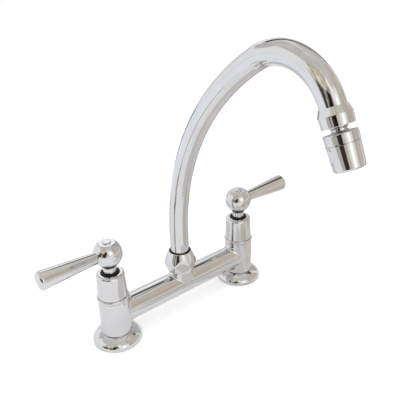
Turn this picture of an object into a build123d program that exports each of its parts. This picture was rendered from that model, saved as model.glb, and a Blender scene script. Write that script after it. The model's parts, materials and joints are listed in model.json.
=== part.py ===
from build123d import *
import os
from math import cos, radians, sin, sqrt

# Two handle bridge faucet for a kitchen sink. Millimetres, +Z up.
# The origin is on the deck, half way between the two inlets. The spout points to -Y, towards the user,
# and the hot valve is on the left, at -X. Both valves are shut and the levers point outwards.

# ---- driving sizes ----------------------------------------------------------------------------------
inlet_centres = 180.0       # between the two valve pillars
deck_thickness = 20.0       # sink deck or worktop that the nuts clamp

flange_dia = 53.0           # domed cover flange on the deck
flange_rim = 2.0
flange_rise = 12.0          # of the dome above its rim, taken at the pillar's axis
flange_ledge = 4.0          # width of metal at the rim
flange_wall = 2.0
flange_bore = 22.0
hub_dia = 28.0
gasket_height = 1.8
gasket_seat = 48.8
flange_edge = 0.4           # chamfer at the foot of the rim

pillar_dia = 32.8
pillar_foot_round = 1.4
bridge_dia = 28.2
bridge_bore = 15.5
bore_floor = 0.25           # step between a valve seat and the lowest line of the bridge's bore
casting_round = 4.5         # where bridge and pillars run together
tail_socket_depth = 9.0
seat_web = 3.4              # metal between the tail's socket and the valve seat
seat_bore = 10.5
pillar_above = 21.5         # pillar's top above the bridge's axis

tee_dia = 27.4              # upright stub that carries the spout
tee_thread_dia = 26.8
tee_shoulder_above = 18.8   # seat of the spout nut above the bridge's axis
tee_thread_length = 11.2
tee_round = 3.2
tee_well_above = 5.0        # floor of the stub's bore above the bridge's axis

tail_dia = 20.955           # G1/2 thread
tail_bore = 13.0
tail_chamfer = 0.8
inlet_length = 18.0         # free thread below the back nut
runout_length = 3.0
runout_depth = 1.0
nut_width = 28.0            # across flats
nut_height = 7.0
nut_bevel = 0.8
backnut_corner_round = 0.4
nut_clear = 1.0             # thread that shows between the nut and the run-out
washer_dia = 36.0
washer_edge = 0.3
rubber_washer = 2.0
steel_washer = 1.5

valve_thread = 21.0
valve_thread_length = 11.5
valve_wall = 1.8
valve_cavity = 14.0
valve_roof = 2.5
valve_head_dia = 24.2
valve_head_height = 2.5
valve_hex = 20.6
valve_hex_height = 7.5
valve_sleeve_dia = 17.2
window_width = 8.0          # of the valve's two side ports
window_margin = 0.5         # metal above and below them
disc_height = 3.0
driver_width = 3.0
driver_height = 3.0
tongue_width = 2.3
tongue_height = 1.1
port_reach = 3.0            # radius on which the kidney shaped ports lie
port_width = 2.8
port_sweep = 28.0           # degrees
seal_height = 3.5
seal_bore = 9.0
seal_stands_out = 0.3       # rubber that shows below the valve body before it is squeezed

neck_dia = 25.8             # threaded ring on the pillar that the bonnet screws on
neck_height = 2.5
bonnet_height = 31.2
bonnet_base_dia = 31.6
bonnet_top_dia = 29.4
bonnet_bead_dia = 34.2      # rounded band at the bonnet's foot
bonnet_bead_height = 3.9
bonnet_bead_round = 1.4
bonnet_groove = 0.5         # width and depth of the line above the bead
bonnet_shoulder = 2.8       # radius of the rounded shoulder
bonnet_wall = 2.4
gland_dia = 20.4
gland_flange = 22.4
gland_height = 4.2          # of the part that sits in the bonnet
gland_proud = 0.6
gland_round = 0.5

spindle_dia = 10.0
spindle_flange_height = 1.7
drive_width = 6.4           # of the square that carries the ball
drive_round = 0.8
drive_above = 3.6           # end of the square above the ball's centre
drive_room = 0.4            # between that end and the roof of its hole
o_ring = 1.2                # section of the spindle's O-rings
o_ring_groove = 1.6
clip_height = 0.8
clip_depth = 0.6
clip_dia = 13.2
clip_mouth = 3.0
collar_dia = 14.2           # chromed sleeve under the ball
collar_edge = 0.3
under_ring_height = 1.3
under_ring_dia = 13.8
under_ring_round = 0.45
ball_dia = 30.4
ball_lift = 22.5            # centre of the ball above the bonnet's top
ball_top_flat = 17.0
ball_foot_flat = 13.8
ball_edge = 0.5             # rounding of the flat's rim
screw_dia = 4.0
screw_head_dia = 6.6
screw_head_height = 2.4
screw_length = 14.0
screw_socket = 2.5
screw_socket_depth = 1.4
screw_room = 0.5            # thread left free beyond the screw's end
cap_dia = 7.8
cap_height = 2.4
cap_proud = 0.5             # crown of the cap above the ball's flat
cap_crown = 0.7             # by which its domed top falls away to the edge
cap_gap = 0.2
cap_room = 0.6              # between the cap and the screw's head

lever_reach = 76.0          # from the ball's centre to the tip
lever_root_dia = 12.0
lever_tip_dia = 19.6
lever_corner = 3.5
lever_crown = 15.0          # degrees by which the end face bulges at its edge
lever_stud_dia = 6.0
lever_stud_length = 5.5

spout_dia = 20.8
spout_wall = 1.2
spout_rise = 94.6           # height where the riser starts to lean forward
spout_lean_radius = 245.0
spout_lean_angle = 58.4
spout_crook_radius = 53.3
outlet_angle = 155.4        # of the outlet's axis from straight up
bush_dia = 23.9
bush_flange_dia = 25.8
bush_flange_height = 3.0
bush_bore = 16.0
bush_socket = 15.0          # length of tube held in the bush
bush_length = 26.0
bush_ring = 1.5             # section of the O-rings on the bush
bush_ring_groove = 2.0
nut_corners_dia = 36.8
nut_flats = 32.0
nut_foot_dia = 30.4
nut_top_dia = 25.8
nut_waist = 9.7             # height of its widest ring
nut_total = 23.7
nut_land = 1.2
nut_corner_round = 1.2
nut_rim = 0.4
bearing_dia = 24.0          # black nylon sleeve that guides the tube in the nut
bearing_flange_height = 1.8

collar_length = 14.3        # outlet collar, brazed to the spout's end
collar_cone = 6.0
collar_lip_dia = 22.0
collar_outer_dia = 26.0
collar_foot_dia = 25.4
collar_waist_round = 1.2
collar_rim = 0.5
collar_socket = 7.0
collar_chamber_dia = 19.8
collar_web = 2.3
stem_dia = 14.0
stem_bore = 8.0
stem_neck_dia = 11.8
stem_seal_height = 1.1
stem_clip_dia = 18.6
stem_clip_height = 1.0
stem_clip_mouth = 4.0
stem_lip = 1.2              # of the stem beyond its clip
stem_step = 15.2            # station where the stem starts to narrow
stem_step_end = 16.6
joint_dia = 19.2            # of the ball at the stem's end
joint_place = 25.0          # station of the ball's centre
joint_end_above = 8.0       # flat at the ball's mouth, from its centre
head_start = 19.1           # stations of the swivel head along the outlet's axis
head_seam = 27.0
head_end = 46.6
head_top_dia = 26.2
head_seam_dia = 25.8
head_groove = 0.8
cap_edge = 0.9
housing_end_dia = 24.0
housing_round = 1.6
housing_flats = 24.2
housing_turn = 17.0         # degrees by which the flats stand off the faucet's width
housing_flat_start = 3.0
housing_flat_height = 8.0
housing_wall = 1.95
housing_web = 4.5
head_thread_dia = 22.0
head_thread_length = 4.7
joint_seal_start = 28.0
joint_seal_height = 3.5
joint_seal_dia = 19.7
shoulder_bore = 15.2
screen_dia = 17.0
screen_sheet = 0.4
screen_lap = 0.1            # by which the sheet is let into its ring
aerator_lip_dia = 18.4
aerator_lip = 0.8
aerator_washer_height = 1.4
aerator_screen_height = 0.8
aerator_wall = 1.3
aerator_plate = 1.4
aerator_grid = 2.0
aerator_hole_dia = 2.2
aerator_hole_pitch = 3.3
spray_hole_dia = 1.6
spray_holes = 10
spray_reach = 5.4

# ---- clearances -------------------------------------------------------------------------------------
thread_gap = 0.05           # radial, between a modelled male and female thread
running_gap = 0.05          # radial, between a shaft and its bore
seat_gap = 0.3              # between a turning face and its seat
loose_gap = 0.3             # radial, round a washer or a seal
face_gap = 0.05             # between the two polished ceramic faces

# ---- places worked out from the sizes above ---------------------------------------------------------
half_centres = inlet_centres / 2
foot_height = flange_rim + flange_rise * sqrt(1 - (pillar_dia / flange_dia) ** 2)
tail_top = foot_height + tail_socket_depth
seat_height = tail_top + seat_web
bridge_height = seat_height + bridge_bore / 2 + bore_floor
pillar_top = bridge_height + pillar_above
tee_shoulder = bridge_height + tee_shoulder_above
tee_top = tee_shoulder + tee_thread_length
tee_well = bridge_height + tee_well_above
tee_bore = bush_dia + 2 * running_gap

washer_top = -deck_thickness
steel_top = washer_top - rubber_washer
nut_top = steel_top - steel_washer
runout_top = nut_top - nut_height - nut_clear
inlet_top = runout_top - runout_length
tail_end = inlet_top - inlet_length
washer_bore = tail_dia + 2 * loose_gap

neck_top = pillar_top + neck_height
valve_foot = seat_height + seal_stands_out
valve_bore = valve_thread + 2 * thread_gap
valve_thread_foot = neck_top - valve_thread_length
cavity_top = valve_thread_foot - valve_roof
hex_foot = neck_top + valve_head_height
fixed_disc_foot = seat_height + seal_height
moving_disc_foot = fixed_disc_foot + disc_height + face_gap
driver_foot = moving_disc_foot + disc_height
window_foot = driver_foot + window_margin
window_top = cavity_top - window_margin
bead_top = pillar_top + bonnet_bead_height
bonnet_top = pillar_top + bonnet_height
gland_foot = bonnet_top - gland_height
gland_top = bonnet_top + gland_proud
valve_top = gland_foot - seat_gap
clip_foot = valve_top + seat_gap
spindle_bore = spindle_dia + 2 * running_gap

ball_height = bonnet_top + ball_lift
ball_foot = ball_height - sqrt(ball_dia ** 2 - ball_foot_flat ** 2) / 2
ball_top = ball_height + sqrt(ball_dia ** 2 - ball_top_flat ** 2) / 2
sleeve_top = ball_foot - under_ring_height
sleeve_foot = clip_foot + clip_height
round_top = ball_foot - seat_gap
drive_top = ball_height + drive_above
cap_top = ball_top + cap_proud
cap_foot = cap_top - cap_height
recess_floor = cap_foot - screw_head_height - cap_room
lever_seat = sqrt(ball_dia ** 2 - lever_root_dia ** 2) / 2

bush_flange_foot = tee_top + seat_gap
bush_top = bush_flange_foot + bush_flange_height
bush_foot = bush_top - bush_length
tube_foot = bush_top - bush_socket
bearing_foot = bush_top + seat_gap
bearing_step = bearing_foot + bearing_flange_height
nut_roof = tee_shoulder + nut_total
nut_bore = tee_thread_dia + 2 * thread_gap
tube_bore = spout_dia - 2 * spout_wall

joint_seat = joint_dia + 2 * running_gap
web_start = collar_length - collar_web
stem_seal_start = web_start - stem_seal_height
stem_clip_end = stem_seal_start - seat_gap
stem_clip_start = stem_clip_end - stem_clip_height
stem_start = stem_clip_start - stem_lip
housing_shoulder = joint_seal_start + joint_seal_height
aerator_start = housing_shoulder + housing_web
aerator_end = head_end - aerator_lip
screen_start = aerator_start + aerator_washer_height
insert_start = screen_start + aerator_screen_height
aerator_bore = housing_end_dia - 2 * housing_wall
aerator_dia = aerator_bore - 2 * running_gap
spindle_ring_stations = (neck_top - 7.0, neck_top - 2.0)
bush_ring_stations = (bush_foot + 2.4, bush_foot + 6.4)

SIDES = (("left", -1), ("right", 1))


def outline_plane(frame):
    """Plane whose local X runs across the frame's axis and whose local Y runs along it."""
    return Plane(origin=frame.origin, x_dir=frame.x_dir, z_dir=frame.x_dir.cross(frame.z_dir))


def turn(frame, *points, mode=Mode.ADD):
    """Turns a closed outline of (radius, station) points about the frame's axis."""
    with BuildSketch(outline_plane(frame)) as area:
        with BuildLine():
            Polyline(*points, close=True)
        make_face()
    revolve(area.sketch, axis=Axis(frame.origin, frame.z_dir), mode=mode)


def sleeve(frame, outer_dia, bore_dia, start, end, mode=Mode.ADD):
    """Plain tube between two stations of the frame's axis."""
    with BuildSketch(frame.offset(start)) as area:
        Circle(outer_dia / 2)
        Circle(bore_dia / 2, mode=Mode.SUBTRACT)
    extrude(area.sketch, amount=end - start, mode=mode)


def drill(frame, dia, start, end):
    """Round hole between two stations of the frame's axis."""
    with BuildSketch(frame.offset(start)) as area:
        Circle(dia / 2)
    extrude(area.sketch, amount=end - start, mode=Mode.SUBTRACT)


def turn_dome(frame, radius, base, rise, mode=Mode.ADD):
    """Elliptical dome standing on a short cylinder."""
    with BuildSketch(outline_plane(frame)) as area:
        with BuildLine():
            dome = EllipticalCenterArc((0, base), radius, rise, arc_size=90)
            Polyline(dome @ 0, (radius, 0), (0, 0), dome @ 1)
        make_face()
    revolve(area.sketch, axis=Axis(frame.origin, frame.z_dir), mode=mode)


def clip_hexagon(frame, flats, corner_round, start, end):
    """Keeps what lies inside a hexagonal bar with rounded corners."""
    with BuildSketch(frame.offset(start)) as area:
        RegularPolygon(flats / 2, 6, major_radius=False)
        fillet(area.vertices(), radius=corner_round)
    extrude(area.sketch, amount=end - start, mode=Mode.INTERSECT)


def rims(builder, dia):
    """Circular edges of one diameter."""
    circles = builder.edges().filter_by(GeomType.CIRCLE)
    return circles.filter_by(lambda edge: abs(edge.radius - dia / 2) < 0.001)


def o_ring_at(frame, inner_dia, section, station):
    """One rubber ring of round section."""
    with BuildSketch(outline_plane(frame)) as area:
        with Locations((inner_dia / 2 + section / 2, station)):
            Circle(section / 2)
    revolve(area.sketch, axis=Axis(frame.origin, frame.z_dir))


def save(builder, node):
    """Labels a finished piece and writes its STEP file."""
    builder.part.label = node
    export_step(builder.part, f"parts/{node}.step")


os.makedirs("parts", exist_ok=True)
centre = Plane.XY

# ---- body casting: two pillars, the bridge between them and the stub for the spout --------------------
with BuildPart() as body_casting:
    with BuildSketch(Plane.XY.offset(foot_height)):
        with Locations((-half_centres, 0), (half_centres, 0)):
            Circle(pillar_dia / 2)
    extrude(amount=pillar_top - foot_height)
    with BuildSketch(Plane.YZ):
        with Locations((0, bridge_height)):
            Circle(bridge_dia / 2)
    extrude(amount=half_centres, both=True)
    outside = body_casting.edges()
    joins = outside.filter_by(lambda edge: edge.geom_type not in (GeomType.CIRCLE, GeomType.LINE))
    fillet(joins, radius=casting_round)
    before_tee = body_casting.edges()
    with BuildSketch(Plane.XY.offset(bridge_height)):
        Circle(tee_dia / 2)
    extrude(amount=tee_shoulder - bridge_height)
    with Locations((0, 0, bridge_height)):
        Sphere(tee_dia / 2)     # rounded foot of the stub, inside the bridge
    new_edges = body_casting.edges() - before_tee
    saddle = new_edges.filter_by(lambda edge: edge.geom_type not in (GeomType.CIRCLE, GeomType.LINE))
    fillet(saddle, radius=tee_round)
    feet = body_casting.edges().filter_by(GeomType.CIRCLE).group_by(Axis.Z)[0]
    fillet(feet, radius=pillar_foot_round)
    with BuildSketch(Plane.XY.offset(tee_shoulder)):
        Circle(tee_thread_dia / 2)
    extrude(amount=tee_thread_length)
    with BuildSketch(Plane.XY.offset(pillar_top)):
        with Locations((-half_centres, 0), (half_centres, 0)):
            Circle(neck_dia / 2)
    extrude(amount=neck_height)
    with BuildSketch(Plane.YZ):
        with Locations((0, bridge_height)):
            Circle(bridge_bore / 2)
    extrude(amount=half_centres, both=True, mode=Mode.SUBTRACT)
    drill(centre, tee_bore, tee_well, tee_top)
    for side, sign in SIDES:
        post = Plane(origin=(sign * half_centres, 0, 0))
        drill(post, valve_bore, seat_height, neck_top)
        drill(post, seat_bore, tail_top, seat_height)
        drill(post, tail_dia + 2 * thread_gap, foot_height, tail_top)
save(body_casting, "body_casting")

for side, sign in SIDES:
    post = Plane(origin=(sign * half_centres, 0, 0))

    # ---- deck fixing ----------------------------------------------------------------------------------
    with BuildPart() as flange_hollow:
        turn_dome(post, flange_dia / 2 - flange_ledge, flange_rim, flange_rise - flange_wall)
        drill(post, hub_dia, 0, flange_rim + flange_rise)

    with BuildPart() as flange:
        turn_dome(post, flange_dia / 2, flange_rim, flange_rise)
        chamfer(rims(flange, flange_dia).sort_by(Axis.Z)[0], length=flange_edge)
        drill(post, pillar_dia, foot_height, foot_height + flange_rise)
        add(flange_hollow.part, mode=Mode.SUBTRACT)
        sleeve(post, gasket_seat, hub_dia, 0, gasket_height, mode=Mode.SUBTRACT)
        drill(post, flange_bore, 0, foot_height)
    save(flange, f"flange_{side}")

    with BuildPart() as flange_gasket:
        sleeve(post, gasket_seat - 2 * loose_gap, hub_dia + 2 * loose_gap, 0, gasket_height)
    save(flange_gasket, f"flange_gasket_{side}")

    with BuildPart() as inlet_tail:
        sleeve(post, tail_dia, tail_bore, tail_end, tail_top)
        runout_dia = tail_dia - 2 * runout_depth
        sleeve(post, tail_dia + 1, runout_dia, inlet_top, runout_top, mode=Mode.SUBTRACT)
        chamfer(inlet_tail.edges().group_by(Axis.Z)[0].sort_by(SortBy.LENGTH)[-1], length=tail_chamfer)
    save(inlet_tail, f"inlet_tail_{side}")

    with BuildPart() as clamp_washer:
        sleeve(post, washer_dia, washer_bore, steel_top, washer_top)
        chamfer(rims(clamp_washer, washer_dia), length=washer_edge)
    save(clamp_washer, f"clamp_washer_{side}")

    with BuildPart() as steel_ring:
        sleeve(post, washer_dia, washer_bore, nut_top, steel_top)
        chamfer(rims(steel_ring, washer_dia), length=washer_edge)
    save(steel_ring, f"steel_washer_{side}")

    with BuildPart() as backnut:
        corner = nut_width / sqrt(3)
        bevelled = corner - nut_bevel * sqrt(3)
        nut_foot = nut_top - nut_height
        turn(
            post,
            (0, nut_foot),
            (bevelled, nut_foot),
            (corner, nut_foot + nut_bevel),
            (corner, nut_top - nut_bevel),
            (bevelled, nut_top),
            (0, nut_top),
        )
        clip_hexagon(post, nut_width, backnut_corner_round, nut_foot, nut_top)
        drill(post, tail_dia + 2 * thread_gap, nut_foot, nut_top)
    save(backnut, f"backnut_{side}")

    # ---- valve ----------------------------------------------------------------------------------------
    with BuildPart() as headwork:
        turn(
            post,
            (0, valve_foot),
            (valve_cavity / 2 + valve_wall, valve_foot),
            (valve_cavity / 2 + valve_wall, valve_thread_foot),
            (valve_thread / 2, valve_thread_foot),
            (valve_thread / 2, neck_top),
            (valve_head_dia / 2, neck_top),
            (valve_head_dia / 2, hex_foot),
            (valve_sleeve_dia / 2, hex_foot),
            (valve_sleeve_dia / 2, valve_top),
            (0, valve_top),
        )
        with BuildSketch(post.offset(hex_foot)):
            RegularPolygon(valve_hex / 2, 6, major_radius=False)
        extrude(amount=valve_hex_height)
        drill(post, spindle_bore, cavity_top, valve_top)
        drill(post, valve_cavity, valve_foot, cavity_top)
        with BuildSketch(post.offset(window_foot)):
            Rectangle(window_width, valve_thread + 2)
        extrude(amount=window_top - window_foot, mode=Mode.SUBTRACT)
    save(headwork, f"headwork_{side}")

    with BuildPart() as seat_seal:
        sleeve(post, valve_cavity - 2 * running_gap, seal_bore, seat_height, fixed_disc_foot)
    save(seat_seal, f"seat_seal_{side}")

    with BuildPart() as fixed_disc:
        with BuildSketch(post.offset(fixed_disc_foot)):
            Circle(valve_cavity / 2 - running_gap)
            for heading in (90, 270):
                start = heading - port_sweep / 2
                kidney = CenterArc((0, 0), port_reach, start, port_sweep, mode=Mode.PRIVATE)
                SlotArc(kidney, port_width, mode=Mode.SUBTRACT)
        extrude(amount=disc_height)
    save(fixed_disc, f"fixed_disc_{side}")

    with BuildPart() as moving_disc:
        with BuildSketch(post.offset(moving_disc_foot)):
            Circle(valve_cavity / 2 - seat_gap)
            for heading in (0, 180):
                start = heading - port_sweep / 2
                kidney = CenterArc((0, 0), port_reach, start, port_sweep, mode=Mode.PRIVATE)
                SlotArc(kidney, port_width, mode=Mode.SUBTRACT)
        extrude(amount=disc_height)
        with BuildSketch(post.offset(driver_foot)):
            Rectangle(tongue_width + 2 * running_gap, valve_cavity)
        extrude(amount=-tongue_height - running_gap, mode=Mode.SUBTRACT)
    save(moving_disc, f"moving_disc_{side}")

    with BuildPart() as spindle:
        flange_top = cavity_top - seat_gap
        driver_top = driver_foot + driver_height
        turn(
            post,
            (0, driver_top),
            (spindle_dia / 2, driver_top),
            (spindle_dia / 2, flange_top - spindle_flange_height),
            (valve_cavity / 2 - seat_gap, flange_top - spindle_flange_height),
            (valve_cavity / 2 - seat_gap, flange_top),
            (spindle_dia / 2, flange_top),
            (spindle_dia / 2, clip_foot),
            (spindle_dia / 2 - clip_depth, clip_foot),
            (spindle_dia / 2 - clip_depth, sleeve_foot),
            (spindle_dia / 2, sleeve_foot),
            (spindle_dia / 2, round_top),
            (0, round_top),
        )
        with BuildSketch(post.offset(driver_foot)):
            Rectangle(driver_width, valve_cavity)
            Circle(valve_cavity / 2 - seat_gap, mode=Mode.INTERSECT)
        extrude(amount=driver_height)
        with BuildSketch(post.offset(driver_foot - tongue_height)):
            Rectangle(tongue_width, valve_cavity)
            Circle(valve_cavity / 2 - seat_gap, mode=Mode.INTERSECT)
        extrude(amount=tongue_height)
        with BuildSketch(post.offset(round_top)):
            RectangleRounded(drive_width, drive_width, drive_round)
        extrude(amount=drive_top - round_top)
        for station in spindle_ring_stations:
            sleeve(
                post,
                spindle_dia + 1,
                spindle_dia - 2 * o_ring,
                station - o_ring_groove / 2,
                station + o_ring_groove / 2,
                mode=Mode.SUBTRACT,
            )
        drill(post, screw_dia + 2 * thread_gap, recess_floor - screw_length - screw_room, drive_top)
    save(spindle, f"spindle_{side}")

    with BuildPart() as spindle_orings:
        for station in spindle_ring_stations:
            o_ring_at(post, spindle_dia - 2 * o_ring, o_ring, station)
    save(spindle_orings, f"spindle_orings_{side}")

    with BuildPart() as spindle_circlip:
        with BuildSketch(post.offset(clip_foot)):
            Circle(clip_dia / 2)
            Circle(spindle_dia / 2 - clip_depth, mode=Mode.SUBTRACT)
            with Locations((0, -clip_dia / 2)):
                Rectangle(clip_mouth, clip_dia, mode=Mode.SUBTRACT)
        extrude(amount=clip_height)
    save(spindle_circlip, f"spindle_circlip_{side}")

    # ---- bonnet and its black ring --------------------------------------------------------------------
    with BuildPart() as bonnet:
        groove_radius = bonnet_base_dia / 2 - bonnet_groove
        turn(
            post,
            (0, pillar_top),
            (bonnet_bead_dia / 2, pillar_top),
            (bonnet_bead_dia / 2, bead_top),
            (groove_radius, bead_top),
            (groove_radius, bead_top + bonnet_groove),
            (bonnet_base_dia / 2, bead_top + bonnet_groove),
            (bonnet_top_dia / 2, bonnet_top),
            (0, bonnet_top),
        )
        fillet(rims(bonnet, bonnet_bead_dia), radius=bonnet_bead_round)
        fillet(rims(bonnet, bonnet_top_dia), radius=bonnet_shoulder)
        inner_base = neck_dia / 2 + thread_gap
        inner_top = bonnet_top_dia / 2 - bonnet_wall
        turn(
            post,
            (0, pillar_top),
            (inner_base, pillar_top),
            (inner_base, bead_top),
            (inner_top, bonnet_top - bonnet_shoulder),
            (inner_top, bonnet_top - bonnet_wall),
            (gland_dia / 2 + running_gap, bonnet_top - bonnet_wall),
            (gland_dia / 2 + running_gap, bonnet_top),
            (0, bonnet_top),
            mode=Mode.SUBTRACT,
        )
    save(bonnet, f"bonnet_{side}")

    with BuildPart() as gland_ring:
        turn(
            post,
            (collar_dia / 2 + running_gap, gland_foot),
            (gland_flange / 2, gland_foot),
            (gland_flange / 2, bonnet_top - bonnet_wall),
            (gland_dia / 2, bonnet_top - bonnet_wall),
            (gland_dia / 2, gland_top),
            (collar_dia / 2 + running_gap, gland_top),
        )
        fillet(rims(gland_ring, gland_dia).sort_by(Axis.Z)[-1], radius=gland_round)
    save(gland_ring, f"gland_ring_{side}")

    # ---- handle ---------------------------------------------------------------------------------------
    with BuildPart() as handle_collar:
        sleeve(post, collar_dia, spindle_bore, sleeve_foot, sleeve_top)
        chamfer(rims(handle_collar, collar_dia), length=collar_edge)
    save(handle_collar, f"handle_collar_{side}")

    with BuildPart() as ball_washer:
        sleeve(post, under_ring_dia, spindle_bore, sleeve_top, ball_foot)
        fillet(rims(ball_washer, under_ring_dia), radius=under_ring_round)
    save(ball_washer, f"ball_washer_{side}")

    outward = Plane(origin=(sign * half_centres, 0, ball_height), x_dir=(0, 1, 0), z_dir=(sign, 0, 0))
    with BuildPart() as handle_ball:
        foot_rim = (ball_foot_flat / 2, ball_foot)
        top_rim = (ball_top_flat / 2, ball_top)
        with BuildSketch(outline_plane(post)):
            with BuildLine():
                Polyline(foot_rim, (0, ball_foot), (0, ball_top), top_rim)
                ThreePointArc(foot_rim, (ball_dia / 2, ball_height), top_rim)
            make_face()
        revolve(axis=Axis(post.origin, post.z_dir))
        fillet(rims(handle_ball, ball_top_flat), radius=ball_edge)
        drill(outward, ball_dia, lever_seat, ball_dia / 2)
        stud_end = lever_seat - lever_stud_length - seat_gap
        drill(outward, lever_stud_dia + 2 * running_gap, stud_end, lever_seat)
        drill(post, cap_dia + 2 * cap_gap, recess_floor, ball_top)
        drill(post, screw_dia + 2 * loose_gap, drive_top, recess_floor)
        with BuildSketch(post.offset(ball_foot)):
            drive_hole = drive_width + 2 * running_gap
            RectangleRounded(drive_hole, drive_hole, drive_round + running_gap)
        extrude(amount=drive_top + drive_room - ball_foot, mode=Mode.SUBTRACT)
    save(handle_ball, f"handle_ball_{side}")

    with BuildPart() as lever:
        turned = radians(90 - lever_crown)
        crown_edge = lever_tip_dia / 2 - lever_corner + lever_corner * cos(turned)
        crown_rise = crown_edge / cos(turned) * (1 - sin(turned))
        corner_station = lever_reach - crown_rise - lever_corner * sin(turned)
        with BuildSketch(outline_plane(outward)):
            with BuildLine():
                corner_centre = (lever_tip_dia / 2 - lever_corner, corner_station)
                corner = CenterArc(corner_centre, lever_corner, 0, 90 - lever_crown)
                crown = TangentArc(corner @ 1, (0, lever_reach), tangent=corner % 1)
                Polyline(
                    crown @ 1,
                    (0, lever_seat - lever_stud_length),
                    (lever_stud_dia / 2, lever_seat - lever_stud_length),
                    (lever_stud_dia / 2, lever_seat),
                    (lever_root_dia / 2, lever_seat),
                    corner @ 0,
                )
            make_face()
        revolve(axis=Axis(outward.origin, outward.z_dir))
    save(lever, f"lever_{side}")

    with BuildPart() as handle_screw:
        head_top = recess_floor + screw_head_height
        turn(
            post,
            (0, recess_floor - screw_length),
            (screw_dia / 2, recess_floor - screw_length),
            (screw_dia / 2, recess_floor),
            (screw_head_dia / 2, recess_floor),
            (screw_head_dia / 2, head_top),
            (0, head_top),
        )
        with BuildSketch(post.offset(head_top)):
            RegularPolygon(screw_socket / 2, 6, major_radius=False)
        extrude(amount=-screw_socket_depth, mode=Mode.SUBTRACT)
    save(handle_screw, f"handle_screw_{side}")

    with BuildPart() as index_cap:
        with BuildSketch(outline_plane(post)):
            with BuildLine():
                crown = TangentArc((0, cap_top), (cap_dia / 2, cap_top - cap_crown), tangent=(1, 0))
                Polyline(crown @ 1, (cap_dia / 2, cap_foot), (0, cap_foot), crown @ 0)
            make_face()
        revolve(axis=Axis(post.origin, post.z_dir))
    save(index_cap, f"index_cap_{side}")

# ---- spout nut and its bearing --------------------------------------------------------------------------
with BuildPart() as spout_nut:
    waist = tee_shoulder + nut_waist
    turn(
        centre,
        (0, tee_shoulder),
        (nut_foot_dia / 2, tee_shoulder),
        (nut_corners_dia / 2, waist - nut_land),
        (nut_corners_dia / 2, waist),
        (nut_top_dia / 2, nut_roof),
        (0, nut_roof),
    )
    chamfer(rims(spout_nut, nut_top_dia), length=nut_rim)
    clip_hexagon(centre.rotated((0, 0, 30)), nut_flats, nut_corner_round, tee_shoulder, nut_roof)
    drill(centre, nut_bore, tee_shoulder, bearing_step)
    drill(centre, bearing_dia + 2 * running_gap, bearing_step, nut_roof)
save(spout_nut, "spout_nut")

with BuildPart() as spout_bearing:
    turn(
        centre,
        (spout_dia / 2 + running_gap, bearing_foot),
        (nut_bore / 2 - running_gap, bearing_foot),
        (nut_bore / 2 - running_gap, bearing_step),
        (bearing_dia / 2, bearing_step),
        (bearing_dia / 2, nut_roof),
        (spout_dia / 2 + running_gap, nut_roof),
    )
save(spout_bearing, "spout_bearing")

# ---- swinging spout -------------------------------------------------------------------------------------
with BuildPart() as spout_tube:
    with BuildLine(Plane.YZ):
        rise = Line((0, tube_foot), (0, spout_rise))
        lean = JernArc(rise @ 1, rise % 1, spout_lean_radius, spout_lean_angle)
        crook = JernArc(lean @ 1, lean % 1, spout_crook_radius, outlet_angle - spout_lean_angle)
        Line(crook @ 1, crook @ 1 + collar_socket * (crook % 1))
    with BuildSketch(Plane.XY.offset(tube_foot)):
        Circle(spout_dia / 2)
        Circle(tube_bore / 2, mode=Mode.SUBTRACT)
    sweep()
save(spout_tube, "spout_tube")

outlet = Plane(origin=crook @ 1, x_dir=(1, 0, 0), z_dir=crook % 1)

with BuildPart() as spout_bush:
    turn(
        centre,
        (0, bush_foot),
        (bush_dia / 2, bush_foot),
        (bush_dia / 2, bush_flange_foot),
        (bush_flange_dia / 2, bush_flange_foot),
        (bush_flange_dia / 2, bush_top),
        (0, bush_top),
    )
    drill(centre, bush_bore, bush_foot, bush_top)
    drill(centre, spout_dia + 2 * thread_gap, tube_foot, bush_top)
    for station in bush_ring_stations:
        sleeve(
            centre,
            bush_dia + 1,
            bush_dia - 2 * bush_ring,
            station - bush_ring_groove / 2,
            station + bush_ring_groove / 2,
            mode=Mode.SUBTRACT,
        )
save(spout_bush, "spout_bush")

with BuildPart() as spout_orings:
    for station in bush_ring_stations:
        o_ring_at(centre, bush_dia - 2 * bush_ring, bush_ring, station)
save(spout_orings, "spout_orings")

with BuildPart() as outlet_collar:
    turn(
        outlet,
        (0, 0),
        (collar_lip_dia / 2, 0),
        (collar_outer_dia / 2, collar_cone),
        (collar_foot_dia / 2, collar_length),
        (0, collar_length),
    )
    fillet(rims(outlet_collar, collar_outer_dia), radius=collar_waist_round)
    fillet(rims(outlet_collar, collar_foot_dia), radius=collar_rim)
    drill(outlet, spout_dia + 2 * thread_gap, 0, collar_socket)
    drill(outlet, collar_chamber_dia, collar_socket, web_start)
    drill(outlet, stem_dia + 2 * running_gap, web_start, collar_length)
save(outlet_collar, "outlet_collar")

with BuildPart() as stem_seal:
    seal_outer = collar_chamber_dia - 2 * running_gap
    sleeve(outlet, seal_outer, stem_dia + 2 * running_gap, stem_seal_start, web_start)
save(stem_seal, "stem_seal")

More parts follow.
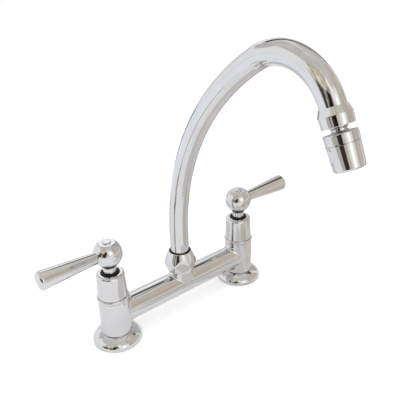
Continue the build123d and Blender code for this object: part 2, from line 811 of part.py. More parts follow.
# ---- swivel ---------------------------------------------------------------------------------------------
with BuildPart() as swivel_stem:
    neck_meets = joint_place - sqrt(joint_dia ** 2 - stem_neck_dia ** 2) / 2
    joint_end = joint_place + joint_end_above
    end_radius = sqrt((joint_dia / 2) ** 2 - joint_end_above ** 2)
    with BuildSketch(outline_plane(outlet)):
        with BuildLine():
            Polyline(
                (stem_neck_dia / 2, neck_meets),
                (stem_neck_dia / 2, stem_step_end),
                (stem_dia / 2, stem_step),
                (stem_dia / 2, stem_clip_end),
                (stem_dia / 2 - clip_depth, stem_clip_end),
                (stem_dia / 2 - clip_depth, stem_clip_start),
                (stem_dia / 2, stem_clip_start),
                (stem_dia / 2, stem_start),
                (stem_bore / 2, stem_start),
                (stem_bore / 2, joint_end),
                (end_radius, joint_end),
            )
            ThreePointArc(
                (stem_neck_dia / 2, neck_meets), (joint_dia / 2, joint_place), (end_radius, joint_end)
            )
        make_face()
    revolve(axis=Axis(outlet.origin, outlet.z_dir))
save(swivel_stem, "swivel_stem")

with BuildPart() as stem_clip:
    with BuildSketch(outlet.offset(stem_clip_start)):
        Circle(stem_clip_dia / 2)
        Circle(stem_dia / 2 - clip_depth, mode=Mode.SUBTRACT)
        with Locations((0, stem_clip_dia / 2)):
            Rectangle(stem_clip_mouth, stem_clip_dia, mode=Mode.SUBTRACT)
    extrude(amount=stem_clip_height)
save(stem_clip, "stem_clip")

# ---- swivel head ----------------------------------------------------------------------------------------
thread_start = head_seam - head_thread_length
with BuildPart() as swivel_cap:
    turn(
        outlet,
        (0, head_start),
        (head_top_dia / 2, head_start),
        (head_seam_dia / 2, head_seam - head_groove / 2),
        (head_seam_dia / 2 - head_groove / 2, head_seam),
        (0, head_seam),
    )
    fillet(rims(swivel_cap, head_top_dia), radius=cap_edge)
    with Locations(outlet.offset(joint_place)):
        Sphere(joint_seat / 2, mode=Mode.SUBTRACT)
    drill(outlet, head_thread_dia + 2 * thread_gap, thread_start, head_seam)
save(swivel_cap, "swivel_cap")

with BuildPart() as ball_seal:
    with BuildSketch(outline_plane(outlet)):
        with BuildLine():
            seat_radius = joint_seat / 2
            seal_outer = joint_seal_dia / 2
            up = joint_seal_start - joint_place
            down = housing_shoulder - joint_place
            middle = (up + down) / 2
            Polyline(
                (sqrt(seat_radius ** 2 - up ** 2), joint_seal_start),
                (seal_outer, joint_seal_start),
                (seal_outer, housing_shoulder),
                (sqrt(seat_radius ** 2 - down ** 2), housing_shoulder),
            )
            ThreePointArc(
                (sqrt(seat_radius ** 2 - up ** 2), joint_seal_start),
                (sqrt(seat_radius ** 2 - middle ** 2), joint_place + middle),
                (sqrt(seat_radius ** 2 - down ** 2), housing_shoulder),
            )
        make_face()
    revolve(axis=Axis(outlet.origin, outlet.z_dir))
save(ball_seal, "ball_seal")

with BuildPart() as aerator_housing:
    end_radius = housing_end_dia / 2
    with BuildSketch(outline_plane(outlet)):
        with BuildLine():
            round_centre = (end_radius - housing_round, head_end - housing_round)
            foot = CenterArc(round_centre, housing_round, 0, 90)
            Polyline(
                foot @ 0,
                (head_seam_dia / 2, head_seam + head_groove / 2),
                (head_seam_dia / 2 - head_groove / 2, head_seam),
                (head_thread_dia / 2, head_seam),
                (head_thread_dia / 2, thread_start + seat_gap),
                (0, thread_start + seat_gap),
                (0, head_end),
                foot @ 1,
            )
        make_face()
    revolve(axis=Axis(outlet.origin, outlet.z_dir))
    drill(outlet, joint_seal_dia + 2 * running_gap, thread_start, housing_shoulder)
    drill(outlet, shoulder_bore, housing_shoulder, aerator_start)
    drill(outlet, aerator_bore, aerator_start, aerator_end)
    drill(outlet, aerator_lip_dia, aerator_end, head_end)
    with BuildSketch(outlet.offset(head_seam + housing_flat_start)):
        with PolarLocations(housing_flats / 2 + head_seam_dia / 2, 2, start_angle=housing_turn):
            Rectangle(head_seam_dia, head_seam_dia)
    extrude(amount=housing_flat_height, mode=Mode.SUBTRACT)
save(aerator_housing, "aerator_housing")

with BuildPart() as aerator_washer:
    sleeve(outlet, aerator_dia, shoulder_bore, aerator_start, screen_start)
save(aerator_washer, "aerator_washer")

with BuildPart() as aerator_screen:
    sleeve(outlet, aerator_dia, screen_dia, screen_start, insert_start)
    with BuildSketch(outlet.offset(screen_start + (aerator_screen_height - screen_sheet) / 2)):
        Circle(screen_dia / 2 + screen_lap)
    extrude(amount=screen_sheet)
save(aerator_screen, "aerator_screen")

with BuildPart() as aerator_insert:
    plate_end = insert_start + aerator_plate
    grid_start = aerator_end - aerator_grid
    with BuildSketch(outlet.offset(insert_start)):
        Circle(aerator_dia / 2)
    extrude(amount=aerator_end - insert_start)
    drill(outlet, aerator_dia - 2 * aerator_wall, plate_end, grid_start)
    with BuildSketch(outlet.offset(insert_start)):
        with PolarLocations(spray_reach, spray_holes):
            Circle(spray_hole_dia / 2)
    extrude(amount=aerator_plate, mode=Mode.SUBTRACT)
    with BuildSketch(outlet.offset(grid_start)):
        with HexLocations(aerator_hole_pitch / 2, 5, 5):
            Circle(aerator_hole_dia / 2)
    extrude(amount=aerator_grid, mode=Mode.SUBTRACT)
save(aerator_insert, "aerator_insert")
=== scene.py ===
import json
import math

import bmesh
import bpy
from mathutils import Matrix, Vector


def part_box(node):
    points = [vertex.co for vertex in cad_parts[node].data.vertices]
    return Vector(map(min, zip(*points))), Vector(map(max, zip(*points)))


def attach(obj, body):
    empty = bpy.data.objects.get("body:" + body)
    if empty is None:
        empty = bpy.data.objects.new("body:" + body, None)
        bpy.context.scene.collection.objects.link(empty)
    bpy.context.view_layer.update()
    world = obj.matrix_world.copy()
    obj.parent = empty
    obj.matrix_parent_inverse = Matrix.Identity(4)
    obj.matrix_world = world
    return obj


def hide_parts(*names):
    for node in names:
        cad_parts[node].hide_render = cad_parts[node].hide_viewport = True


# Looks of the two handle bridge faucet: its finishes, the pieces with fine detail, and the studio round it.
# The frame is in metres: the deck is at z = 0 and the spout points to -Y. Outlines are in millimetres.
# Each post is named by its side, with its place along X.

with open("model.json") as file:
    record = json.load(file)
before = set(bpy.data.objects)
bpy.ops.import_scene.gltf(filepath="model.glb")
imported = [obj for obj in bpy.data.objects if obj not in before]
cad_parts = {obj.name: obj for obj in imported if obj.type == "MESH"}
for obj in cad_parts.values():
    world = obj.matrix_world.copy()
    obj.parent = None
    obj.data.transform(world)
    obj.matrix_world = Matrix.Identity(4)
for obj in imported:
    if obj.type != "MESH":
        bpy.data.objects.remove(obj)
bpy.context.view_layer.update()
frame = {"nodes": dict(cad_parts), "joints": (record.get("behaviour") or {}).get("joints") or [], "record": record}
nodes = frame["nodes"]
slots = {row["node"]: row["material_slot"] for row in frame["record"]["subparts"]}
scene = bpy.context.scene
mm = 0.001
posts = (("left", -90.0), ("right", 90.0))
upright_axis = (0, 0, 1)
deck_centre = (0, 0, 0)


# ---- finishes -----------------------------------------------------------------------------------------
def empty_finish(name):
    """A finish without a shader: the finish, its node tree and its output."""
    finish = bpy.data.materials.new(name)
    finish.use_nodes = True
    tree = finish.node_tree
    tree.nodes.clear()
    return finish, tree, tree.nodes.new("ShaderNodeOutputMaterial")


def new_finish(name):
    """A surface finish with its node tree and its shader."""
    finish, tree, out = empty_finish(name)
    shader = tree.nodes.new("ShaderNodeBsdfPrincipled")
    tree.links.new(shader.outputs["BSDF"], out.inputs["Surface"])
    return finish, tree, shader


def clouds(tree, waves, detail=3.0, rough=0.5, stretch=(1, 1, 1)):
    """Cloudy pattern fixed to the piece, in waves per metre."""
    place = tree.nodes.new("ShaderNodeTexCoord")
    stretched = tree.nodes.new("ShaderNodeMapping")
    stretched.inputs["Scale"].default_value = stretch
    pattern = tree.nodes.new("ShaderNodeTexNoise")
    pattern.inputs["Scale"].default_value = waves
    pattern.inputs["Detail"].default_value = detail
    pattern.inputs["Roughness"].default_value = rough
    tree.links.new(place.outputs["Object"], stretched.inputs["Vector"])
    tree.links.new(stretched.outputs["Vector"], pattern.inputs["Vector"])
    return pattern.outputs["Fac"]


def between(tree, pattern, low, high, start=0.3, end=0.7):
    """Spreads a pattern that runs from start to end between two other numbers."""
    spread = tree.nodes.new("ShaderNodeMapRange")
    spread.inputs["From Min"].default_value = start
    spread.inputs["From Max"].default_value = end
    spread.inputs["To Min"].default_value = low
    spread.inputs["To Max"].default_value = high
    tree.links.new(pattern, spread.inputs["Value"])
    return spread.outputs["Result"]


def tones(tree, pattern, dark, light, start=0.3, end=0.7):
    """Colour that wanders between two tones with a pattern."""
    ramp = tree.nodes.new("ShaderNodeValToRGB")
    ramp.color_ramp.elements[0].position = start
    ramp.color_ramp.elements[0].color = (*dark, 1)
    ramp.color_ramp.elements[1].position = end
    ramp.color_ramp.elements[1].color = (*light, 1)
    tree.links.new(pattern, ramp.inputs["Fac"])
    return ramp.outputs["Color"]


def added(tree, one, other, share):
    """Sum of one pattern and a share of another."""
    total = tree.nodes.new("ShaderNodeMath")
    total.operation = "MULTIPLY_ADD"
    total.inputs[1].default_value = share
    tree.links.new(other, total.inputs[0])
    tree.links.new(one, total.inputs[2])
    return total.outputs["Value"]


def relief(tree, shader, pattern, height):
    """Raises the surface by a pattern, height in metres."""
    bump = tree.nodes.new("ShaderNodeBump")
    bump.inputs["Strength"].default_value = 1.0
    bump.inputs["Distance"].default_value = height
    tree.links.new(pattern, bump.inputs["Height"])
    tree.links.new(bump.outputs["Normal"], shader.inputs["Normal"])


def polished_chrome():
    """Chrome plate on hand polished brass: a soft ripple, a haze of wiping marks and a faint cloud."""
    finish, tree, shader = new_finish("polished_chrome")
    shader.inputs["Metallic"].default_value = 1.0
    cloud = clouds(tree, waves=45, detail=4)
    colour = tones(tree, cloud, dark=(0.665, 0.670, 0.685), light=(0.715, 0.718, 0.725))
    tree.links.new(colour, shader.inputs["Base Color"])
    smears = clouds(tree, waves=160, detail=5, rough=0.6)
    wiping = clouds(tree, waves=900, detail=2, stretch=(1, 1, 0.12))
    haze = between(tree, added(tree, smears, wiping, share=0.35), 0.028, 0.075, start=0.35, end=0.95)
    tree.links.new(haze, shader.inputs["Roughness"])
    broad = clouds(tree, waves=38, detail=1, rough=0.3)
    narrow = clouds(tree, waves=150, detail=1, rough=0.3)
    relief(tree, shader, added(tree, broad, narrow, share=0.12), height=0.00022)
    return finish


def metal(name, dark, light, rough, waves, height, stretch=(1, 1, 1)):
    """Bare turned or rolled metal with fine tool marks."""
    finish, tree, shader = new_finish(name)
    shader.inputs["Metallic"].default_value = 1.0
    tarnish = clouds(tree, waves / 6, detail=5, rough=0.6)
    tree.links.new(tones(tree, tarnish, dark, light), shader.inputs["Base Color"])
    marks = clouds(tree, waves, detail=3, rough=0.6, stretch=stretch)
    tree.links.new(between(tree, marks, rough * 0.75, rough * 1.3), shader.inputs["Roughness"])
    relief(tree, shader, marks, height)
    return finish


def moulded(name, dark, light, rough, waves, height, specular=0.5):
    """Moulded plastic, rubber or fired ceramic with a fine skin."""
    finish, tree, shader = new_finish(name)
    shader.inputs["Specular IOR Level"].default_value = specular
    tree.links.new(tones(tree, clouds(tree, waves / 5, detail=4), dark, light), shader.inputs["Base Color"])
    skin = clouds(tree, waves, detail=4, rough=0.6)
    tree.links.new(between(tree, skin, rough * 0.8, rough * 1.2), shader.inputs["Roughness"])
    relief(tree, shader, skin, height)
    return finish


finishes = {
    "polished_chrome": polished_chrome(),
    "bare_brass": metal("bare_brass", dark=(0.50, 0.36, 0.15), light=(0.68, 0.50, 0.23),
                        rough=0.26, waves=2400, height=0.00001, stretch=(1, 1, 4)),
    "spring_steel": metal("spring_steel", dark=(0.46, 0.46, 0.47), light=(0.62, 0.62, 0.63),
                          rough=0.30, waves=3000, height=0.000008),
    "black_nylon": moulded("black_nylon", dark=(0.003, 0.003, 0.0035), light=(0.008, 0.008, 0.009),
                           rough=0.34, waves=2200, height=0.00001, specular=0.14),
    "black_rubber": moulded("black_rubber", dark=(0.004, 0.004, 0.004), light=(0.011, 0.010, 0.010),
                            rough=0.55, waves=1800, height=0.00002, specular=0.16),
    "white_seal": moulded("white_seal", dark=(0.70, 0.70, 0.67), light=(0.82, 0.82, 0.80),
                          rough=0.42, waves=1500, height=0.00001),
    "ceramic": moulded("ceramic", dark=(0.80, 0.78, 0.72), light=(0.88, 0.86, 0.81),
                       rough=0.12, waves=2500, height=0.000003),
    "grey_plastic": moulded("grey_plastic", dark=(0.29, 0.30, 0.31), light=(0.38, 0.39, 0.40),
                            rough=0.40, waves=1600, height=0.00001),
}
for name, node in nodes.items():
    node.data.materials.clear()
    node.data.materials.append(finishes[slots[name]])


# ---- tools for the pieces with fine detail ------------------------------------------------------------
def new_object(name, shape, finish):
    """Turns a finished shape into an object of the scene."""
    data = bpy.data.meshes.new(name)
    shape.to_mesh(data)
    shape.free()
    data.materials.append(finish)
    thing = bpy.data.objects.new(name, data)
    scene.collection.objects.link(thing)
    return thing


def hung(name, shape, body, stands_for, crease=32):
    """Closes a finished shape, gives it the finish of the node it stands for and hangs it on its body."""
    slot = slots[stands_for]
    bmesh.ops.remove_doubles(shape, verts=shape.verts, dist=0.002 * mm)
    bmesh.ops.dissolve_degenerate(shape, edges=shape.edges, dist=0.001 * mm)
    bmesh.ops.recalc_face_normals(shape, faces=shape.faces)
    piece = new_object(name, shape, finishes[slot])
    piece.data.polygons.foreach_set("use_smooth", [True] * len(piece.data.polygons))
    piece.data.set_sharp_from_angle(angle=math.radians(crease))
    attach(piece, body)
    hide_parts(stands_for)


def corners_of(node):
    """Lowest and highest corner of a CAD node, in millimetres."""
    return [Vector(corner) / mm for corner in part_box(node)]


def chain(shape, points):
    """A line of edges through the points, in metres: its vertices and edges."""
    corners = [shape.verts.new(point) for point in points]
    return corners + [shape.edges.new(pair) for pair in zip(corners, corners[1:])]


def turned(shape, outline, steps):
    """Spins an outline of (radius, height) points about the upright axis."""
    line = chain(shape, [(radius * mm, 0, height * mm) for radius, height in outline])
    bmesh.ops.spin(shape, geom=line, cent=deck_centre, axis=upright_axis, angle=math.tau, steps=steps,
                   use_merge=True)


def radius_of(vertex):
    return math.hypot(vertex.co.x, vertex.co.y) / mm


def drawn_in(vertex, share):
    """Moves a vertex towards the upright axis, to a share of its distance."""
    vertex.co.x *= share
    vertex.co.y *= share


def soft_least(one, other, blend):
    """The lesser of two lengths, rounded off where they meet."""
    near = max(blend - abs(one - other), 0.0) / blend
    return min(one, other) - near * near * blend / 4


def stepped(outline, pace):
    """Divides the runs of an outline into steps no longer than the pace."""
    fine = [outline[0]]
    for start, end in zip(outline, outline[1:]):
        parts = max(1, math.ceil(math.dist(start, end) / pace))
        fine += [tuple(a + (b - a) * k / parts for a, b in zip(start, end)) for k in range(1, parts + 1)]
    return fine


def hexagon_cut(shape, flats, first, corner, edge, inside):
    """Presses a turned blank into a hexagon, with its first flat at an angle.

    Corners and edges are rounded over the given lengths. What is nearer the axis than inside stays round.
    """
    least_cosine = 0.2
    for v in shape.verts:
        radius = radius_of(v)
        if radius <= inside:
            continue
        turn = math.atan2(v.co.y, v.co.x)
        off_flats = [turn - first - k * math.tau / 6 for k in range(6)]
        walls = sorted(flats / 2 / max(math.cos(angle), least_cosine) for angle in off_flats)
        pressed = soft_least(radius, soft_least(walls[0], walls[1], corner), edge)
        drawn_in(v, pressed / radius)


def at_post(shape, x):
    bmesh.ops.translate(shape, vec=(x * mm, 0, 0), verts=shape.verts)


# ---- spout nut: a polished hexagon between two cones, bored to the thread's size at its foot ----------
low, high = corners_of("spout_nut")
foot, roof = low.z, high.z
nut_flats, foot_radius, blank_radius, roof_radius = 32.0, 15.2, 18.4, 12.5
waist, waist_height = foot + 9.7, 1.2
roof_lip, roof_lip_height = 12.9, 0.4
thread_radius, neck_radius = 26.9 / 2, 24.1 / 2
neck_foot = corners_of("spout_bearing")[0].z + 1.8
neck_bevel, thread_bevel, thread_bevel_height = 0.25, 0.7, 0.9
foot_face = 15.0
outside = stepped([(foot_radius, foot), (blank_radius, waist - waist_height), (blank_radius, waist),
                   (roof_lip, roof - roof_lip_height), (roof_radius, roof)], pace=0.34)
inside = [(neck_radius + neck_bevel, roof), (neck_radius, roof - neck_bevel), (neck_radius, neck_foot),
          (thread_radius, neck_foot), (thread_radius, foot + thread_bevel_height),
          (thread_radius + thread_bevel, foot), (foot_face, foot)]
shape = bmesh.new()
turned(shape, outside + inside + [outside[0]], steps=240)
hexagon_cut(shape, nut_flats, first=0.0, corner=1.5, edge=0.9, inside=14.9)
hung("spout_nut_polished", shape, "body", "spout_nut")


# ---- threaded tails: G1/2, with a run-out groove below the back nut -----------------------------------
def with_neighbours(some):
    """The given vertices with the edges and faces that touch them."""
    verts = list(some)
    edges = {edge for v in verts for edge in v.link_edges}
    faces = {face for v in verts for face in v.link_faces}
    return verts + list(edges) + list(faces)


def thread_wall(shape, crest, root, pitch, start, end, steps=40, slices=8):
    """Outside of a right hand screw thread between two heights.

    One turn of its outline is spun, repeated up the screw, merged, and cut level at both heights.
    """
    before = set(shape.verts)
    base = start - pitch
    points = []
    for k in range(slices + 1):
        flank = 1 - abs(2 * k / slices - 1)
        depth = flank * flank * (3 - 2 * flank)
        radius = crest - (crest - root) * depth
        points.append((radius * mm, 0, (base + pitch * k / slices) * mm))
    bmesh.ops.spin(shape, geom=chain(shape, points), cent=deck_centre, axis=upright_axis,
                   dvec=(0, 0, pitch * mm / steps), angle=math.tau, steps=steps, use_merge=False)
    turn = with_neighbours(v for v in shape.verts if v not in before)
    for k in range(1, math.ceil((end - base) / pitch) + 1):
        copied = bmesh.ops.duplicate(shape, geom=turn)["geom"]
        corners = [item for item in copied if isinstance(item, bmesh.types.BMVert)]
        bmesh.ops.translate(shape, verts=corners, vec=(0, 0, k * pitch * mm))
    corners = [v for v in shape.verts if v not in before]
    bmesh.ops.remove_doubles(shape, verts=corners, dist=0.01 * mm)
    for height, keeps_above in ((start, True), (end, False)):
        wall = with_neighbours(v for v in shape.verts if v not in before)
        bmesh.ops.bisect_plane(shape, geom=wall, dist=0.0005 * mm, plane_co=(0, 0, height * mm),
                               plane_no=upright_axis, clear_inner=keeps_above, clear_outer=not keeps_above)


def ring_closed(shape, height, reach=0.004):
    """Fills the flat ring between the open rims that lie at one height."""
    rims = [edge for edge in shape.edges
            if edge.is_boundary and all(abs(v.co.z / mm - height) < reach for v in edge.verts)]
    bmesh.ops.triangle_fill(shape, edges=rims, use_beauty=True, normal=upright_axis)


thread_crest, thread_root, thread_pitch = 20.955 / 2, 18.631 / 2, 25.4 / 14
foot_lift = 0.002
groove_radius, groove_length, groove_to_nut = 9.15, 3.0, 1.0
tail_bore, bore_bevel, bore_bevel_height = 6.5, 0.6, 0.9
lead_in_start, lead_in_slope = thread_root - 0.1, 1.2


def threaded_tail(side, x):
    low, high = corners_of(f"inlet_tail_{side}")
    foot, roof = low.z + foot_lift, high.z
    groove_roof = corners_of(f"backnut_{side}")[0].z - groove_to_nut
    groove_foot = groove_roof - groove_length
    shape = bmesh.new()
    thread_wall(shape, thread_crest, thread_root, thread_pitch, foot, groove_foot)
    thread_wall(shape, thread_crest, thread_root, thread_pitch, groove_roof, roof)
    for v in shape.verts:
        radius = radius_of(v)
        allowed = lead_in_start + (v.co.z / mm - foot) * lead_in_slope
        if radius > allowed:
            drawn_in(v, allowed / radius)
    turned(shape, [(groove_radius, groove_foot), (groove_radius, groove_roof)], steps=80)
    bore = [(tail_bore, roof), (tail_bore, foot + bore_bevel_height), (tail_bore + bore_bevel, foot)]
    turned(shape, bore, steps=80)
    for height in (foot, groove_foot, groove_roof, roof):
        ring_closed(shape, height)
    at_post(shape, x)
    hung(f"threaded_tail_{side}", shape, "body", f"inlet_tail_{side}", crease=50)


# ---- back nuts: bevelled hexagons with a countersunk bore of the thread's size ------------------------
backnut_flats = 28.0
backnut_corner = backnut_flats / math.sqrt(3)
corner_bevel, corner_bevel_height = 1.4, 0.8
backnut_thread, countersink, countersink_depth = 10.53, 11.2, 0.7


def hex_backnut(side, x):
    low, high = corners_of(f"backnut_{side}")
    foot, roof = low.z, high.z
    outside = stepped([(backnut_corner - corner_bevel, foot), (backnut_corner, foot + corner_bevel_height),
                       (backnut_corner, roof - corner_bevel_height), (backnut_corner - corner_bevel, roof)],
                      pace=0.4)
    inside = [(countersink, roof), (backnut_thread, roof - countersink_depth),
              (backnut_thread, foot + countersink_depth), (countersink, foot)]
    shape = bmesh.new()
    turned(shape, outside + inside + [outside[0]], steps=180)
    hexagon_cut(shape, backnut_flats, first=math.tau / 12, corner=0.6, edge=0.4, inside=13.2)
    at_post(shape, x)
    hung(f"hex_backnut_{side}", shape, "body", f"backnut_{side}")


for side, x in posts:
    threaded_tail(side, x)
    hex_backnut(side, x)


# ---- honeycomb of the spray head: six sided cells inside a plain rim ----------------------------------
def edges_of(ring):
    return {edge for v in ring["verts"] for edge in v.link_edges}


def honeycomb(shape, pitch, wall, rim, height, steps=96):
    """Round slab of hexagonal holes, from z = 0 to the height."""
    cell, hole = pitch / math.sqrt(3), (pitch - wall) / math.sqrt(3)
    reach = math.ceil(rim / pitch) + 1
    for row in range(-reach, reach + 1):
        for column in range(-reach, reach + 1):
            spot = Vector(((column + row / 2) * pitch, row * pitch * math.sqrt(3) / 2, 0))
            if spot.length + cell > rim - wall:
                continue
            place = Matrix.Translation(spot * mm)
            loops = []
            for radius in (cell, hole):
                ring = bmesh.ops.create_circle(shape, segments=6, radius=radius * mm, matrix=place)
                loops += edges_of(ring)
            bmesh.ops.bridge_loops(shape, edges=loops)
    bmesh.ops.remove_doubles(shape, verts=shape.verts, dist=0.01 * mm)
    between_sides = (cell + hole) / 2 * mm
    outer = [edge for edge in shape.edges if edge.is_boundary and edge.calc_length() > between_sides]
    outer += edges_of(bmesh.ops.create_circle(shape, segments=steps, radius=rim * mm))
    bmesh.ops.triangle_fill(shape, edges=outer, use_beauty=True, normal=upright_axis)
    bmesh.ops.recalc_face_normals(shape, faces=shape.faces)
    bmesh.ops.solidify(shape, geom=shape.faces, thickness=height * mm)
    lowest = min(v.co.z for v in shape.verts)
    bmesh.ops.translate(shape, verts=shape.verts, vec=(0, 0, -lowest))


swivel = next(joint for joint in frame["joints"] if joint["name"] == "swivel_spin")
ball_centre, outlet_way = Vector(swivel["pos_m"]), Vector(swivel["axis"]).normalized()
insert = [v.co - ball_centre for v in nodes["aerator_insert"].data.vertices]
along = [point.dot(outlet_way) for point in insert]
insert_start, insert_end = min(along) / mm, max(along) / mm
insert_radius = max((point - point.dot(outlet_way) * outlet_way).length for point in insert) / mm
cell_pitch, cell_wall = 2.05, 0.38
shape = bmesh.new()
honeycomb(shape, cell_pitch, cell_wall, insert_radius, insert_end - insert_start)
bmesh.ops.translate(shape, verts=shape.verts, vec=(0, 0, insert_start * mm))
facing_out = outlet_way.to_track_quat("Z", "Y").to_matrix().to_4x4()
bmesh.ops.transform(shape, verts=shape.verts, matrix=Matrix.Translation(ball_centre) @ facing_out)
hung("spray_honeycomb", shape, "spray_head", "aerator_insert", crease=30)


# ---- index buttons: a low domed flange over the screw's recess, with a rolled edge --------------------
button_radius, roll_radius, crown, stem_bevel = 4.75, 1.05, 0.18, 0.3
seat_gap, flange_edge = 0.03, 0.01
roll_angles = [math.radians(8 * k) for k in range(11)]
dome_steps = 6
for side, x in posts:
    low, high = corners_of(f"index_cap_{side}")
    stem_radius = (high.x - low.x) / 2
    seat = corners_of(f"handle_ball_{side}")[1].z + seat_gap
    stem = [(0, low.z), (stem_radius - stem_bevel, low.z), (stem_radius, low.z + stem_bevel),
            (stem_radius, seat), (button_radius, seat)]
    roll_centre, roll_height = button_radius - roll_radius, seat + flange_edge
    rolled_edge = [(roll_centre + roll_radius * math.cos(angle), roll_height + roll_radius * math.sin(angle))
                   for angle in roll_angles]
    dome_radius, dome_foot = rolled_edge[-1]
    shares = [1 - k / dome_steps for k in range(1, dome_steps + 1)]
    dome = [(dome_radius * share, dome_foot + crown * (1 - share ** 2)) for share in shares]
    shape = bmesh.new()
    turned(shape, stem + rolled_edge + dome, steps=72)
    at_post(shape, x)
    hung(f"index_button_{side}", shape, f"handle_{side}", f"index_cap_{side}")


# ---- camera: fitted to the photograph's view ----------------------------------------------------------
eye = Vector((-0.303491, -0.417749, 0.388870))
heading, tilt, roll = math.radians(-38.727), math.radians(26.134), math.radians(-1.875)
picture_width, focal_pixels, sensor = 400, 531.733, 36.0
level = Vector((math.cos(heading), math.sin(heading), 0))
back = Vector((math.sin(heading) * math.cos(tilt), -math.cos(heading) * math.cos(tilt), math.sin(tilt)))
upright = back.cross(level)
across = math.cos(roll) * level + math.sin(roll) * upright
above = math.cos(roll) * upright - math.sin(roll) * level
lens = bpy.data.cameras.new("camera")
lens.sensor_width = sensor
lens.lens = focal_pixels / picture_width * sensor
camera = bpy.data.objects.new("camera", lens)
scene.collection.objects.link(camera)
camera.matrix_world = Matrix.Translation(eye) @ Matrix((across, above, back)).transposed().to_4x4()
scene.camera = camera


# ---- studio: white floor and world, with bright and dark cards that show only in reflections ----------
def seen(tree, *kinds):
    """1 for the kinds of ray named, 0 for the rest."""
    rays = tree.nodes.new("ShaderNodeLightPath")
    found = rays.outputs[kinds[0]]
    for kind in kinds[1:]:
        either = tree.nodes.new("ShaderNodeMath")
        either.operation = "MAXIMUM"
        tree.links.new(found, either.inputs[0])
        tree.links.new(rays.outputs[kind], either.inputs[1])
        found = either.outputs["Value"]
    return found


def paper_floor():
    """White paper: it takes the shadow, and a little glow lifts it to the background's white."""
    paper, mirrored_glow, camera_glow = 0.80, 0.24, 0.43
    finish, tree, out = empty_finish("floor_paper")
    matt = tree.nodes.new("ShaderNodeBsdfDiffuse")
    matt.inputs["Color"].default_value = (paper, paper, paper, 1)
    glow = tree.nodes.new("ShaderNodeEmission")
    mirrored = between(tree, seen(tree, "Is Glossy Ray", "Is Transmission Ray"), 0.0, mirrored_glow, 0.0, 1.0)
    strength = added(tree, mirrored, seen(tree, "Is Camera Ray"), camera_glow)
    tree.links.new(strength, glow.inputs["Strength"])
    both = tree.nodes.new("ShaderNodeAddShader")
    tree.links.new(matt.outputs["BSDF"], both.inputs[0])
    tree.links.new(glow.outputs["Emission"], both.inputs[1])
    tree.links.new(both.outputs["Shader"], out.inputs["Surface"])
    return finish


floor_reach = 3.0
shape = bmesh.new()
bmesh.ops.create_grid(shape, x_segments=1, y_segments=1, size=floor_reach)
new_object("floor", shape, paper_floor())


def card_paint(name, light, dark, patches, clear):
    """Glowing card: two tones in soft patches, fading out at its edge."""
    finish, tree, out = empty_finish(name)
    glow = tree.nodes.new("ShaderNodeEmission")
    pattern = clouds(tree, patches, detail=2)
    tree.links.new(tones(tree, pattern, dark, light, start=0.42, end=0.58), glow.inputs["Color"])
    through = tree.nodes.new("ShaderNodeBsdfTransparent")
    edge = tree.nodes.new("ShaderNodeAttribute")
    edge.attribute_name = "fade"
    mixed = tree.nodes.new("ShaderNodeMixShader")
    fade = between(tree, edge.outputs["Fac"], 0.0, 1.0, 0.0, clear)
    tree.links.new(fade, mixed.inputs["Fac"])
    tree.links.new(through.outputs["BSDF"], mixed.inputs[1])
    tree.links.new(glow.outputs["Emission"], mixed.inputs[2])
    tree.links.new(mixed.outputs["Shader"], out.inputs["Surface"])
    return finish


def swept(shape, points, start, end, columns):
    """Sweeps a line of points about the faucet, between two bearings in degrees.

    Bearing 0 is the camera's side of the faucet, and bearings grow towards the camera's right.
    """
    bmesh.ops.spin(shape, geom=chain(shape, points), cent=deck_centre, axis=upright_axis,
                   angle=math.radians(end - start), steps=columns, use_merge=False)
    turn = Matrix.Rotation(math.radians(start) + heading - math.pi / 2, 3, "Z")
    bmesh.ops.rotate(shape, cent=deck_centre, matrix=turn, verts=shape.verts)


def set_up_card(name, shape, light, dark, patches, clear):
    """Sets up a card that only reflections see, clear at its edge and solid inside.

    It turns solid over the first part of the way from its edge to the next row, and clear is that part.
    """
    fade = shape.verts.layers.float.new("fade")
    for v in shape.verts:
        v[fade] = 0.0 if v.is_boundary else 1.0
    card = new_object(name, shape, card_paint(name, light, dark or light, patches, clear))
    card.visible_camera = False
    card.visible_diffuse = False
    card.visible_transmission = False
    card.visible_shadow = False
    card.visible_volume_scatter = False


wall_centre = Vector((0, 0, 0.12))


def wall_card(name, start, end, low, high, reach, light, dark=None, patches=1.5, rows=6, columns=8,
              clear=1.0):
    """Part of a round wall, between two bearings and two heights in degrees."""
    shape = bmesh.new()
    rise = [math.radians(low + (high - low) * k / rows) for k in range(rows + 1)]
    swept(shape, [(reach * math.cos(a), 0, reach * math.sin(a)) for a in rise], start, end, columns)
    bmesh.ops.translate(shape, vec=wall_centre, verts=shape.verts)
    set_up_card(name, shape, light, dark, patches, clear)


wall_card("ceiling", -180, 180, 40, 89, 2.6, (0.74, 0.72, 0.68), (0.64, 0.62, 0.57), 0.9, rows=10, columns=24)
wall_card("right_wall", 50, 130, -3, 60, 2.4, (0.77, 0.69, 0.60), (0.60, 0.53, 0.455), 1.6)
wall_card("far_right_wall", 131, 176, -3, 52, 2.3, (0.42, 0.41, 0.40), (0.62, 0.61, 0.59), 1.2)
wall_card("back_low", 158, 222, -6, 24, 2.45, (0.80, 0.80, 0.79))
wall_card("back_wall", -156, -104, 25, 47, 2.4, (0.60, 0.58, 0.55), (0.68, 0.66, 0.63), 1.5)
wall_card("back_glow", -181, -157, 22, 39, 2.35, (1.22, 1.21, 1.25), columns=6)
wall_card("tan_wall", -60, 2, 22, 50, 2.4, (1.00, 0.93, 0.76), (0.48, 0.42, 0.30), 2.2)
wall_card("tan_front", -26, 12, 36, 62, 2.2, (0.98, 0.91, 0.72), (0.58, 0.52, 0.38), 2.5, clear=0.6)
wall_card("front_glow", 6, 54, 0, 46, 2.3, (1.0, 0.965, 0.88))
wall_card("bright_panel", 20, 44, 6, 40, 2.2, (1.50, 1.47, 1.40), rows=4, columns=4)
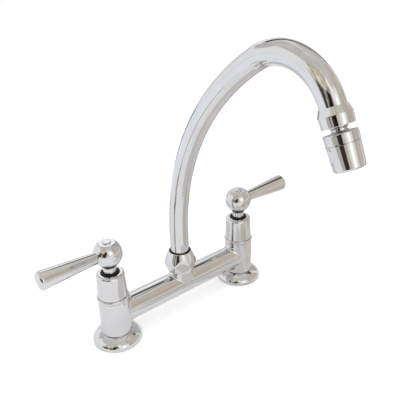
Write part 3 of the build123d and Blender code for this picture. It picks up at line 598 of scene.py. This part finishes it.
wall_card("bright_slit", 5, 17, 27, 56, 2.1, (1.18, 1.16, 1.12), columns=6)
wall_card("low_wall", -68, 14, -4, 28, 2.0, (0.74, 0.69, 0.62), (0.22, 0.19, 0.16), 3.2)
wall_card("front_grey", -9, 4, 21, 41, 1.7, (0.40, 0.38, 0.34), clear=0.7)
wall_card("left_dark", -57, -38, -3, 22, 1.6, (0.075, 0.07, 0.052), columns=6, clear=0.6)
wall_card("front_dark", -31, -5, -5, 19, 1.6, (0.050, 0.034, 0.026), clear=0.6)
wall_card("front_black", -20, 0, 12, 34, 1.0, (0.010, 0.009, 0.007), columns=6, clear=0.6)


def level_card(name, centre, length, width, turn, light, clear):
    """Level card over the faucet, its length turned from the camera's right by some degrees."""
    shape = bmesh.new()
    bmesh.ops.create_grid(shape, x_segments=8, y_segments=6, size=0.5)
    bmesh.ops.scale(shape, vec=(length, width, 1), verts=shape.verts)
    turn_matrix = Matrix.Rotation(heading + math.radians(turn), 3, "Z")
    bmesh.ops.rotate(shape, cent=deck_centre, matrix=turn_matrix, verts=shape.verts)
    bmesh.ops.translate(shape, vec=centre, verts=shape.verts)
    set_up_card(name, shape, light, None, patches=1.0, clear=clear)


level_card("high_dark", (0.40, 0.13, 0.60), 0.80, 0.22, 5, (0.09, 0.08, 0.07), clear=0.6)


def floor_card(name, start, end, near, far, light, dark=None, patches=1.0, clear=0.4, rows=6, columns=12):
    """Part of a flat ring just over the floor, between two bearings and two distances."""
    lift = 0.0006
    shape = bmesh.new()
    points = [(near + (far - near) * k / rows, 0, lift) for k in range(rows + 1)]
    swept(shape, points, start, end, columns)
    set_up_card(name, shape, light, dark, patches, clear)


floor_card("warm_floor", 44, 158, 0.10, 2.6, (0.77, 0.72, 0.665), (0.50, 0.445, 0.40), 7.0, clear=0.12)
floor_card("near_warm_floor", 6, 130, 0.05, 0.15, (0.70, 0.68, 0.66))
floor_card("back_shade", -178, -112, 0.07, 0.34, (0.74, 0.745, 0.75), clear=0.5)
floor_card("cool_floor", -150, -60, 0.2, 2.6, (0.99, 1.03, 1.08), clear=0.5)
floor_card("far_floor", 142, 222, 0.45, 2.8, (0.36, 0.355, 0.35), clear=0.5)
floor_card("front_floor", -66, -8, 0.8, 2.8, (0.56, 0.54, 0.50))
floor_card("mid_floor", -12, 50, 0.18, 2.6, (0.98, 0.945, 0.905))

# The world is full white where it is seen or mirrored, and a little less where it lights matt surfaces.
world = bpy.data.worlds.new("studio")
scene.world = world
world.use_nodes = True
tree = world.node_tree
background = tree.nodes["Background"]
background.inputs["Color"].default_value = (1, 1, 1, 1)
matt_level = 0.75
shown = seen(tree, "Is Camera Ray", "Is Glossy Ray", "Is Transmission Ray")
tree.links.new(between(tree, shown, matt_level, 1.0, 0.0, 1.0), background.inputs["Strength"])

soft_box = bpy.data.lights.new("soft_box", "AREA")
soft_box.shape = "RECTANGLE"
soft_box.size, soft_box.size_y, soft_box.energy = 1.4, 1.4, 6
key_place, key_aim = Vector((-0.3, -0.3, 1.6)), Vector((0, 0, 0.1))
key = bpy.data.objects.new("soft_box", soft_box)
scene.collection.objects.link(key)
key.location = key_place
key.rotation_euler = (key_aim - key_place).to_track_quat("-Z", "Y").to_euler()
key.visible_glossy = False

scene.view_settings.view_transform = "Standard"
